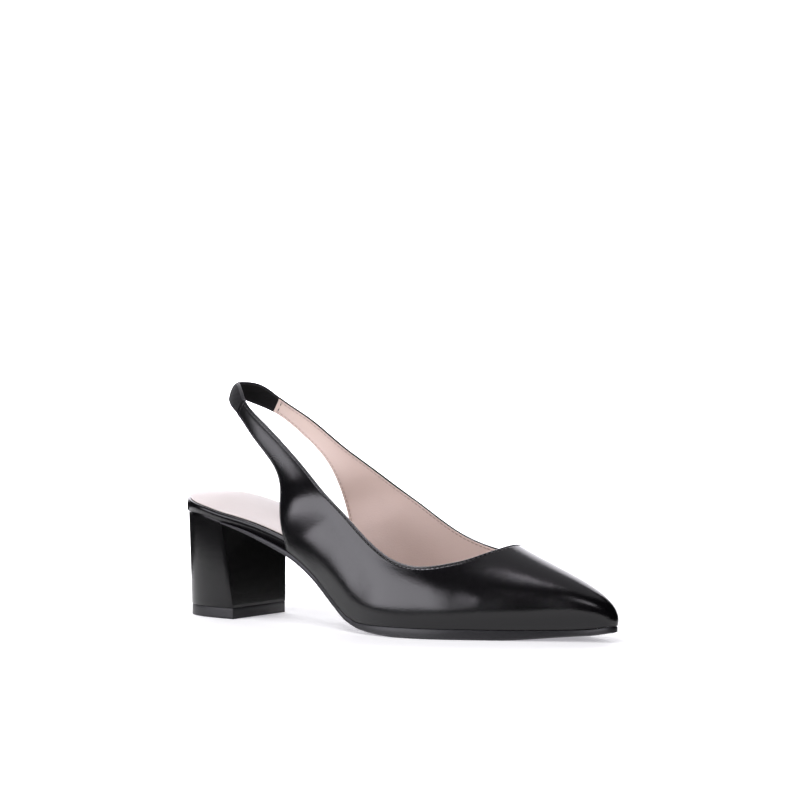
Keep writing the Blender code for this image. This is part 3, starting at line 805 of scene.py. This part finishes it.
def upper_stations():
    """Stations from end to end, denser over the folded ends."""
    start, end = LOOP_KNOTS[STRAP_END] + GAP / 2, LOOP_KNOTS[COUNT - STRAP_END] - GAP / 2
    fold = np.arange(0.0, FOLD_REACH, FOLD_STEP)
    first, last = start + fold[-1] + FOLD_STEP, end - fold[-1] - FOLD_STEP
    middle = np.linspace(first, last, int((end - start) / STATION_STEP))
    return np.concatenate([start + fold, middle, (end - fold)[::-1]])


UPPER = Wall(upper_stations())


def make_upper_leather():
    grid = thin_wall(UPPER, 0.0, LEATHER_WALL, 0.0, 0.0, LEATHER_ROUND, WALL_STEPS, leather_relief)
    points, faces = tube(keep_on_sole(grid, UPPER))
    piece = place("upper_leather", points, faces, [BLACK])
    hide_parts("upper")


def make_lining():
    low = LINING_LOW * (1 - over_foot(UPPER.s))
    back = LEATHER_WALL + LINING_PLAY
    # the lining is seen from inside, so its inner face comes first and takes the relief
    grid = thin_wall(UPPER, UPPER_WALL, back, LINING_TOP, low, LINING_ROUND, WALL_STEPS, lining_relief)
    points, faces = tube(keep_on_sole(grid, UPPER))
    piece = place("upper_lining", points, faces, [LINING_SKIN])
    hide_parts("upper")


# The elastic runs a little way between the strap ends' leather and lining
ELASTIC_TUCK = 0.0004
ELASTIC_BULGE = 0.0006
ELASTIC_ROUND = 0.0006
ELASTIC_STATIONS = 90
ELASTIC_STEPS = 10
# Steps in from each edge of the elastic that take the lighter edge colour, a painted highlight along the
# selvedge
SELVEDGE_STEPS = 5


def elastic_bulge(wall, up):
    """The stretched elastic stands out a little between its edges."""
    share = up / wall.height[:, None]
    return -ELASTIC_BULGE * 4 * share * (1 - share)


def make_elastic_band():
    end = LOOP_KNOTS[STRAP_END] + ELASTIC_TUCK
    wall = Wall(np.linspace(-end, end, ELASTIC_STATIONS))
    front = (UPPER_WALL - ELASTIC_WALL) / 2
    back = front + ELASTIC_WALL
    grid = thin_wall(wall, front, back, 0.0, 0.0, ELASTIC_ROUND, ELASTIC_STEPS, elastic_bulge)
    points, faces = tube(grid)
    # the profile goes up the front, over the top, down the back and round below
    count = grid.shape[1]
    top = count // 2 - len(TURN)
    # faces next to the top and low edges take the edge material, whose lighter colour is a painted
    # highlight
    edges = set(range(SELVEDGE_STEPS))
    edges |= set(range(top - SELVEDGE_STEPS, top + len(TURN) + SELVEDGE_STEPS))
    edges |= set(range(count - len(TURN) - SELVEDGE_STEPS, count))
    marks = [int(i < (len(grid) - 1) * count and i % count in edges) for i in range(len(faces))]
    piece = place("elastic_band", points, faces, [ELASTIC_WEAVE, ELASTIC_EDGE_HIGHLIGHT], slots=marks)
    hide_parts("heel_elastic")


# Stitches: short flattened capsules along a line, all of one seam in one mesh. A seam's rows
# give a stitch's length, the pitch from one to the next, and its radius.
Seam = namedtuple("Seam", "length pitch radius")
EDGE_SEAM = Seam(0.0016, 0.0024, 0.00026)
LINING_SEAM = Seam(0.0018, 0.0024, 0.00018)
END_SEAM = Seam(0.0014, 0.0030, 0.00026)
STITCH_FLAT = 0.75
STITCH_ARCH = 0.35
STITCH_RINGS = 5
STITCH_SIDES = 8


def stitch_mesh(paths, seam):
    points, faces = [], []
    rings, around = STITCH_RINGS, STITCH_SIDES
    length, pitch, radius = seam
    for path, normal in paths:
        gone = np.concatenate([[0.0], np.cumsum(np.linalg.norm(np.diff(path, axis=0), axis=1))])
        count = int(gone[-1] / pitch)
        spare = (gone[-1] - count * pitch) / 2
        for k in range(count):
            start = spare + k * pitch + (pitch - length) / 2
            at = start + length * (1 - np.cos(np.linspace(0.0, math.pi, rings + 2))) / 2
            centre = np.stack([np.interp(at, gone, path[:, a]) for a in range(3)], axis=1)
            up = np.stack([np.interp(at, gone, normal[:, a]) for a in range(3)], axis=1)
            ahead = centre[-1] - centre[0]
            ahead /= np.linalg.norm(ahead)
            across = np.cross(ahead, up)
            across /= np.linalg.norm(across, axis=1)[:, None]
            first = len(points)
            points.append(centre[0])
            size = radius * np.sin(np.linspace(0.0, math.pi, rings + 2)) ** 0.5
            arch = radius * STITCH_ARCH * np.sin(np.linspace(0.0, math.pi, rings + 2))
            for r in range(1, rings + 1):
                for a in range(around):
                    turn = 2 * math.pi * a / around
                    points.append(centre[r] + across[r] * size[r] * math.cos(turn)
                                  + up[r] * (arch[r] + STITCH_FLAT * size[r] * math.sin(turn)))
            points.append(centre[-1])
            last = len(points) - 1
            for a in range(around):
                b = (a + 1) % around
                faces.append((first, first + 1 + b, first + 1 + a))
                for r in range(rings - 1):
                    low, high = first + 1 + r * around, first + 1 + (r + 1) * around
                    faces.append((low + a, low + b, high + b, high + a))
                base = first + 1 + (rings - 1) * around
                faces.append((last, base + a, base + b))
    return np.array(points), faces


def line_on_wall(wall, distance, depth, inside=False):
    """A path along the wall at given distances up, at one depth, and the normals it faces."""
    depth = depth - stands_out(wall, np.reshape(distance, (-1, 1)))[:, :, None]
    points, outward = wall.face(np.reshape(distance, (-1, 1)))
    path = (points - depth * outward)[:, 0]
    return path, (-outward if inside else outward)[:, 0]


# The rows across the strap's ends, and how deep each row of stitches is sunk in its face
END_ROW_IN = 0.0020
END_ROW_MARGIN = 0.0008
END_ROW_POINTS = 30
FOOT_MARGIN = 0.001
EDGE_SUNK = 0.00008
LINING_SUNK = 0.00005
END_SUNK = 0.00002
LINING_REAR_IN = STITCH_IN + 0.0003


def end_rows(depth, inside=False):
    """Stitch lines across the strap beside both of its ends."""
    rows = []
    for station in (UPPER.s[0] + END_ROW_IN, UPPER.s[-1] - END_ROW_IN):
        wall = Wall(np.full(END_ROW_POINTS, station))
        up = np.linspace(END_ROW_MARGIN, wall.height[0] - END_ROW_MARGIN, END_ROW_POINTS)
        rows.append(line_on_wall(wall, up, depth, inside))
    return rows


def rim_rows(top_in, rear_in, depth, inside=False):
    """Stitch lines along the topline, and behind along each quarter's rear edge."""
    top = line_on_wall(UPPER, UPPER.height - top_in, depth, inside)
    low, normal = line_on_wall(UPPER, np.full(len(UPPER.s), rear_in), depth, inside)
    lateral = UPPER.s < LOOP_KNOTS[FOOT] - FOOT_MARGIN
    medial = UPPER.s > LOOP_KNOTS[COUNT - FOOT] + FOOT_MARGIN
    return [top] + [(low[side], normal[side]) for side in (lateral, medial)]


def make_stitches():
    outside = rim_rows(STITCH_IN, STITCH_IN, EDGE_SUNK) + end_rows(END_SUNK)
    points, faces = stitch_mesh(outside, EDGE_SEAM)
    place("edge_stitches", points, faces, [BLACK_THREAD])
    inside = rim_rows(LINING_SEAM_IN, LINING_REAR_IN, UPPER_WALL - LINING_SUNK, inside=True)
    points, faces = stitch_mesh(inside, LINING_SEAM)
    place("lining_stitches", points, faces, [PALE_THREAD])
    points, faces = stitch_mesh(end_rows(UPPER_WALL - END_SUNK, inside=True), END_SEAM)
    place("end_stitches", points, faces, [BLACK_THREAD])


# Layers under the foot: each is a closed stack of rings of the plan curve, capped across
LAYER_STATIONS = 120
SOLE_STATIONS = 140
LAYER_STRIPS = 16


def fine_sides(start, count):
    """Places on the lateral side from a start to the toe, denser at the ends, and their partners."""
    turn = (1 - np.cos(np.linspace(0.0, math.pi, count))) / 2
    lateral = start + (PLAN_KNOTS[ROWS - 1] - start) * turn
    by_row = np.interp(lateral, PLAN_KNOTS[:ROWS], np.arange(ROWS))
    partner = np.interp(by_row, np.arange(ROWS), PLAN_KNOTS[ROWS - 1:][::-1])
    partner[0] = PLAN_KNOTS[-1] - start
    return lateral, partner


def fine_layer(name, rings, materials, low_crown=None, top_crown=None, slots=None, sharp=None):
    """A closed stack of rings (lateral, medial points) with strips from side to side."""
    across = LAYER_STRIPS
    slots = slots or [0] * (len(rings) + 1)
    count = len(rings[0][0])
    size = 2 * count
    points = []
    for lateral, medial in rings:
        points += list(lateral) + list(medial[::-1])
    faces, marks = [], []
    for k in range(len(rings) - 1):
        for i in range(size - 1):
            faces.append((k * size + i, k * size + i + 1, (k + 1) * size + i + 1, (k + 1) * size + i))
            marks.append(slots[k])

    def strip(k, i, crown):
        lateral, medial = rings[k][0][i], rings[k][1][i]
        fullness = min(1.0, (medial[1] - lateral[1]) / SEAT_WIDTH) ** 2
        row = [k * size + i]
        for step in range(1, across):
            mix = step / across
            x, y, z = (1 - mix) * lateral + mix * medial
            lift = 4 * mix * (1 - mix) * fullness * crown(x) if crown else 0.0
            points.append(np.array([x, y, z + lift]))
            row.append(len(points) - 1)
        return row + [k * size + size - 1 - i]

    def join(a, b, mark):
        for step in range(across):
            faces.append((a[step], a[step + 1], b[step + 1], b[step]))
            marks.append(mark)
    crowns = [low_crown] + [None] * (len(rings) - 2) + [top_crown]
    ends = [strip(k, 0, crown) for k, crown in enumerate(crowns)]
    for k, (a, b) in enumerate(zip(ends[:-1], ends[1:])):
        join(a, b, slots[k])
    for k in (0, len(rings) - 1):
        before = ends[k]
        for i in range(1, count):
            after = strip(k, i, crowns[k])
            join(before, after, slots[-2] if k == 0 else slots[-1])
            before = after
    return place(name, np.array(points), faces, materials, slots=marks, sharp=sharp)


def last_ring(places, away, height):
    """One ring: the plan pushed out by away(x), at height(x) over the last's bottom."""
    sides = []
    for side in places:
        x0 = plan_curve(side)[:, 0]
        flat = outline(side, away(x0))
        sides.append(np.column_stack([flat, bottom_height(flat[:, 0]) + height(flat[:, 0])]))
    return sides


def rounded(radius, steps):
    """How far in and how far down the steps of a rounded edge lie, from its side to its top."""
    turns = np.linspace(0.0, math.pi / 2, steps)
    return [(radius * (1 - math.cos(turn)), radius * (1 - math.sin(turn))) for turn in turns]


WRAP_ROUND = 0.0011
SOCK_ROUND = 0.7 * SOCK_THICKNESS


def make_insole_wrap():
    places = fine_sides(0.0, LAYER_STATIONS)
    rings = [last_ring(places, lambda x: 0 * x, lambda x: GAP + 0 * x)]
    for inward, drop in rounded(WRAP_ROUND, 7):
        rings.append(last_ring(places, lambda x, a=inward: -a + 0 * x,
                               lambda x, d=drop: GAP + insole_thickness(x) - d))
    piece = fine_layer("insole_wrap", rings, [WRAP], top_crown=cushion)
    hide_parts("insole")


def padding(x):
    return SOCK_FULLNESS * cushion(x)


def make_sock_pad():
    places = fine_sides(0.0, LAYER_STATIONS)
    rings = []
    for inward, drop in rounded(SOCK_ROUND, 6):
        rings.append(last_ring(places, lambda x, a=inward: -sock_rim(x) - a,
                               lambda x, d=drop: insole_thickness(x) + 2 * GAP + SOCK_THICKNESS - d))
    under = last_ring(places, lambda x: -sock_rim(x), lambda x: insole_thickness(x) + 2 * GAP)
    piece = fine_layer("sock_pad", [under] + rings, [SOCK_SKIN], low_crown=cushion, top_crown=padding)
    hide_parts("sock")


# The sole's edge: places on its bevel, places up its side as shares of its thickness, and the
# material slot of each band from below up, then of the underside and the top
BEVEL_MIXES = (0.15, 0.5, 0.85, 1.0)
SIDE_SHARES = (0.5, 0.12)
TOP_EDGE_IN = 0.0002
SOLE_SLOTS = [1, 0, 0, 0, 0, 0, 0, 1, 0]
SOLE_SHARP = 35.0


def make_sole():
    start = place_at(HEEL_BREAST + GAP)
    places = fine_sides(start, SOLE_STATIONS)

    def sole_ring(inset, share):
        return last_ring(places, lambda x: sole_reach(x) - inset, lambda x: -share * sole_thickness(x))
    rings = [sole_ring(SOLE_BEVEL, 1.0)]
    for mix in BEVEL_MIXES:
        rings.append(sole_ring(SOLE_BEVEL * (1 - mix), 1.0 - (1 - SOLE_SIDE) * mix))
    rings += [sole_ring(0.0, share) for share in SIDE_SHARES] + [sole_ring(TOP_EDGE_IN, 0.0)]
    piece = fine_layer("sole", rings, [SOLE_EDGE, SOLE_GRIP], slots=SOLE_SLOTS, sharp=SOLE_SHARP)
    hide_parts("outsole")


# Heel: points round its back, places across its breast, the cover's seam there and its edges
HEEL_FINE = 65
BREAST_SHARES = np.array([0.03, 0.12, 0.3, 0.42, 0.47, 0.485, 0.495,
                          0.505, 0.515, 0.53, 0.58, 0.7, 0.88, 0.97])
BREAST_SEAM_DEPTH = 0.00010
BREAST_SEAM_WIDTH = 0.012
HEEL_LEVELS = 25
TIP_LEVELS = 5
HEEL_ROUND = 0.0005
TIP_ROUND = 0.0003
SHARP_BEFORE = 30.0
SHARP_ROUNDED = 40.0
SHARP_AFTER = 50.0


def heel_ring_plans():
    """The heel's plans at the seat and the base, closed across the breast with a seam in it."""
    end = place_at(HEEL_BREAST)
    seat = outline(np.linspace(-end, end, HEEL_FINE) % PLAN_KNOTS[-1], -HEEL_INSET)
    seat[:, 1] *= HEEL_TOP_WIDTH / (seat[0, 1] - seat[-1, 1])
    turn = np.linspace(math.pi / 2, -math.pi / 2, HEEL_FINE)
    power = 2 / HEEL_SQUARENESS
    back = HEEL_BASE_DEPTH * np.abs(np.cos(turn)) ** power
    side = HEEL_BASE_WIDTH / 2 * np.sign(np.sin(turn)) * np.abs(np.sin(turn)) ** power
    base = np.stack([HEEL_BASE_BREAST - back, side], axis=1)
    return seat, base


def across_breast(plan):
    """Closes a plan from its last point to its first with a shallow seam in the middle."""
    a, b = plan[-1], plan[0]
    front = a + (b - a) * BREAST_SHARES[:, None]
    front[:, 0] -= BREAST_SEAM_DEPTH * dip(BREAST_SHARES - 0.5, BREAST_SEAM_WIDTH)
    return np.vstack([plan, front])


def ring_stack(name, rings, material):
    """A closed piece from rings of points one above the other."""
    size = len(rings[0])
    points = np.vstack(rings)
    faces = []
    for k in range(len(rings) - 1):
        for i in range(size):
            j = (i + 1) % size
            faces.append((k * size + i, k * size + j, (k + 1) * size + j, (k + 1) * size + i))
    for k in (0, len(rings) - 1):
        faces.append(tuple(k * size + i for i in range(size)))
    return place(name, points, faces, [material], sharp=SHARP_BEFORE)


def soften(piece, width, segments):
    """Rounds the piece's sharp edges and applies the rounding."""
    made = piece.modifiers.new("soften", "BEVEL")
    made.width = width
    made.segments = segments
    made.limit_method = "ANGLE"
    made.angle_limit = math.radians(SHARP_ROUNDED)
    graph = bpy.context.evaluated_depsgraph_get()
    mesh = bpy.data.meshes.new_from_object(piece.evaluated_get(graph))
    piece.modifiers.clear()
    old = piece.data
    piece.data = mesh
    bpy.data.meshes.remove(old)
    mesh.shade_smooth()
    mesh.set_sharp_from_angle(angle=math.radians(SHARP_AFTER))


def make_heel_block():
    seat, base = heel_ring_plans()
    foot = TOP_PIECE + GAP
    rings = []
    tops = across_breast(seat)[:, 0]
    for share in np.linspace(0.0, 1.0, HEEL_LEVELS):
        flat = across_breast(base + (seat - base) * share)
        height = foot + (bottom_height(tops) - foot) * share
        rings.append(np.column_stack([flat, height]))
    piece = ring_stack("heel_block", rings, HEEL_WRAP)
    soften(piece, HEEL_ROUND, 3)
    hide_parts("heel")


def make_tip():
    _, base = heel_ring_plans()
    middle = np.array([REST_ALONG, 0.0])
    half = np.array([HEEL_BASE_DEPTH, HEEL_BASE_WIDTH]) / 2
    edge = middle + (base - middle) * (1 - TOP_PIECE_STEP / half)
    levels = np.linspace(0.0, TOP_PIECE + GAP, TIP_LEVELS)
    rings = [np.column_stack([edge, np.full(len(edge), z)]) for z in levels]
    piece = ring_stack("heel_tip", rings, TIP_GRIP)
    soften(piece, TIP_ROUND, 2)
    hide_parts("top_piece")


make_upper_leather()
make_lining()
make_elastic_band()
make_stitches()
make_insole_wrap()
make_sock_pad()
make_sole()
make_heel_block()
make_tip()

# Floor, backdrop and lights, laid out from the shoe's middle as the camera sees it
VIEW = np.array([-math.sin(CAMERA_TURN[2]), math.cos(CAMERA_TURN[2])])
RIGHT = np.array([math.cos(CAMERA_TURN[2]), math.sin(CAMERA_TURN[2])])
CENTRE = np.array([0.104, 0.0])

# The white of the lamps, and how brightly the floor and the backdrop glow
STUDIO_WHITE = (1.0, 0.975, 1.05)
FLOOR_GLOW = 0.36
FAR_GLOW = 1.10
BACKDROP_GLOW = 3.00
PALE, PALE_LOW, PALE_HIGH = (0.700, 0.718, 0.670), (0.695, 0.713, 0.665), (0.705, 0.723, 0.675)


def on_floor(right, ahead, up=0.0):
    """World point from the shoe's middle: to the camera's right, away from the camera, and up."""
    x, y = CENTRE + RIGHT * right + VIEW * ahead
    return float(x), float(y), up


def stage_sheet(name, points, faces, material):
    mesh = bpy.data.meshes.new(name)
    mesh.from_pydata([tuple(p) for p in points], [], faces)
    mesh.materials.append(material)
    mesh.shade_smooth()
    made = bpy.data.objects.new(name, mesh)
    bpy.context.scene.collection.objects.link(made)
    return made


def glowing(name, glow):
    """The pale paper of floor and backdrop, lit a little from within."""
    made = Shader(name, PALE, 0.80)
    made.tint(made.noise(3.0, 2.0, 0.5), PALE_LOW, PALE_HIGH)
    made.fill(made.main, Emission_Color=(*STUDIO_WHITE, 1.0), Emission_Strength=glow)
    return made.material


# The part of the floor that shows in the shoe's gloss, as its corners, and the rest round it
FLOOR_EDGE = [(-0.20, -0.05), (-0.13, -0.092), (-0.065, -0.106), (-0.035, -0.092), (0.02, -0.074),
              (0.08, -0.085), (0.15, -0.11), (0.25, -0.11), (0.33, 0.0), (0.30, 0.10), (0.16, 0.17),
              (0.0, 0.15), (-0.16, 0.12)]
FLOOR_HALF = 4.0
FLOOR_BELOW = 0.0002

# The backdrop stands behind the shoe: where it leaves the floor, the sweep's radius, and its size
BACKDROP_START = 1.40
BACKDROP_SWEEP = 0.35
BACKDROP_TOP = 2.4
BACKDROP_HALF = 1.30
BACKDROP_BELOW = 0.002
SWEEP_STEPS = 8


def make_floor():
    """A wide pale floor, of which only the part near the shoe shows in its gloss."""
    points = [(x, y, 0.0) for x, y in FLOOR_EDGE]
    look = glowing("pale_floor", FLOOR_GLOW)
    stage_sheet("floor_near", points, [tuple(range(len(points)))], look)
    corners = ((-1, -1), (1, -1), (1, 1), (-1, 1))
    wide = [on_floor(right * FLOOR_HALF, ahead * FLOOR_HALF, -FLOOR_BELOW) for right, ahead in corners]
    outer = stage_sheet("floor_wide", wide, [(0, 1, 2, 3)], glowing("far_floor", FAR_GLOW))
    outer.visible_glossy = False
    outer.visible_shadow = False


def make_backdrop():
    track = [(BACKDROP_START, -BACKDROP_BELOW)]
    for turn in np.linspace(0.0, math.pi / 2, SWEEP_STEPS + 1):
        ahead = BACKDROP_START + BACKDROP_SWEEP * math.sin(turn)
        track.append((ahead, BACKDROP_SWEEP * (1 - math.cos(turn))))
    track.append((BACKDROP_START + BACKDROP_SWEEP, BACKDROP_TOP))
    sides = (-BACKDROP_HALF, BACKDROP_HALF)
    points = [on_floor(right, ahead, up) for ahead, up in track for right in sides]
    faces = [(2 * i, 2 * i + 1, 2 * i + 3, 2 * i + 2) for i in range(len(track) - 1)]
    stage_sheet("backdrop", points, faces, glowing("pale_backdrop", BACKDROP_GLOW))


def softbox(name, at, aim, size, radiance, roll=0.0):
    """A rectangular lamp of the given size and brightness, turned by roll degrees in its plane."""
    lamp = bpy.data.lights.new(name, "AREA")
    lamp.shape = "RECTANGLE"
    lamp.size, lamp.size_y = size
    lamp.energy = radiance * math.pi * size[0] * size[1]
    lamp.color = STUDIO_WHITE
    made = bpy.data.objects.new(name, lamp)
    made.location = at
    made.rotation_mode = "QUATERNION"
    facing = (Vector(aim) - Vector(at)).to_track_quat("-Z", "Y")
    made.rotation_quaternion = facing @ Quaternion((0.0, 0.0, 1.0), math.radians(roll))
    bpy.context.scene.collection.objects.link(made)


def round_shoe(azimuth, distance, up):
    """A place round the shoe: azimuth 0 is towards the camera, and grows to the camera's right."""
    turn = math.radians(azimuth)
    return on_floor(distance * math.sin(turn), -distance * math.cos(turn), up)


# Each lamp's place, what it faces, its size and its brightness
make_floor()
make_backdrop()
MIDDLE = on_floor(0.0, 0.0)
softbox("key", on_floor(-1.445, -0.63, 0.32), on_floor(-0.545, 0.447, 0.32), (2.40, 0.80), 4.5, 2.6)
softbox("high", round_shoe(-55.0, 0.65, 1.45), MIDDLE, (0.70, 0.70), 9.5)
softbox("top", on_floor(0.20, 0.25, 1.55), MIDDLE, (1.3, 1.3), 0.55)
softbox("toe_spot", round_shoe(3.0, 1.4, 1.0), MIDDLE, (0.40, 0.40), 3.5)

# The surroundings look white and light the shoe only faintly
SURROUND_LIGHT = 0.02
world = bpy.data.worlds.new("studio_world")
bpy.context.scene.world = world
world.use_nodes = True
tree = world.node_tree
surround = tree.nodes["Background"]
surround.inputs["Color"].default_value = (1.0, 1.0, 1.0, 1.0)
rays = tree.nodes.new("ShaderNodeLightPath")
shade = tree.nodes.new("ShaderNodeMapRange")
shade.inputs["To Min"].default_value = SURROUND_LIGHT
shade.inputs["To Max"].default_value = 1.0
tree.links.new(rays.outputs["Is Camera Ray"], shade.inputs["Value"])
tree.links.new(shade.outputs["Result"], surround.inputs["Strength"])

camera = bpy.data.cameras.new("camera")
camera.lens = CAMERA_LENS
camera.sensor_width = CAMERA_SENSOR
camera.sensor_fit = "HORIZONTAL"
camera.clip_end = CAMERA_REACH
camera_object = bpy.data.objects.new("camera", camera)
camera_object.location = CAMERA_PLACE
camera_object.rotation_euler = CAMERA_TURN
bpy.context.scene.collection.objects.link(camera_object)
bpy.context.scene.camera = camera_object
bpy.context.scene.view_settings.view_transform = "Standard"
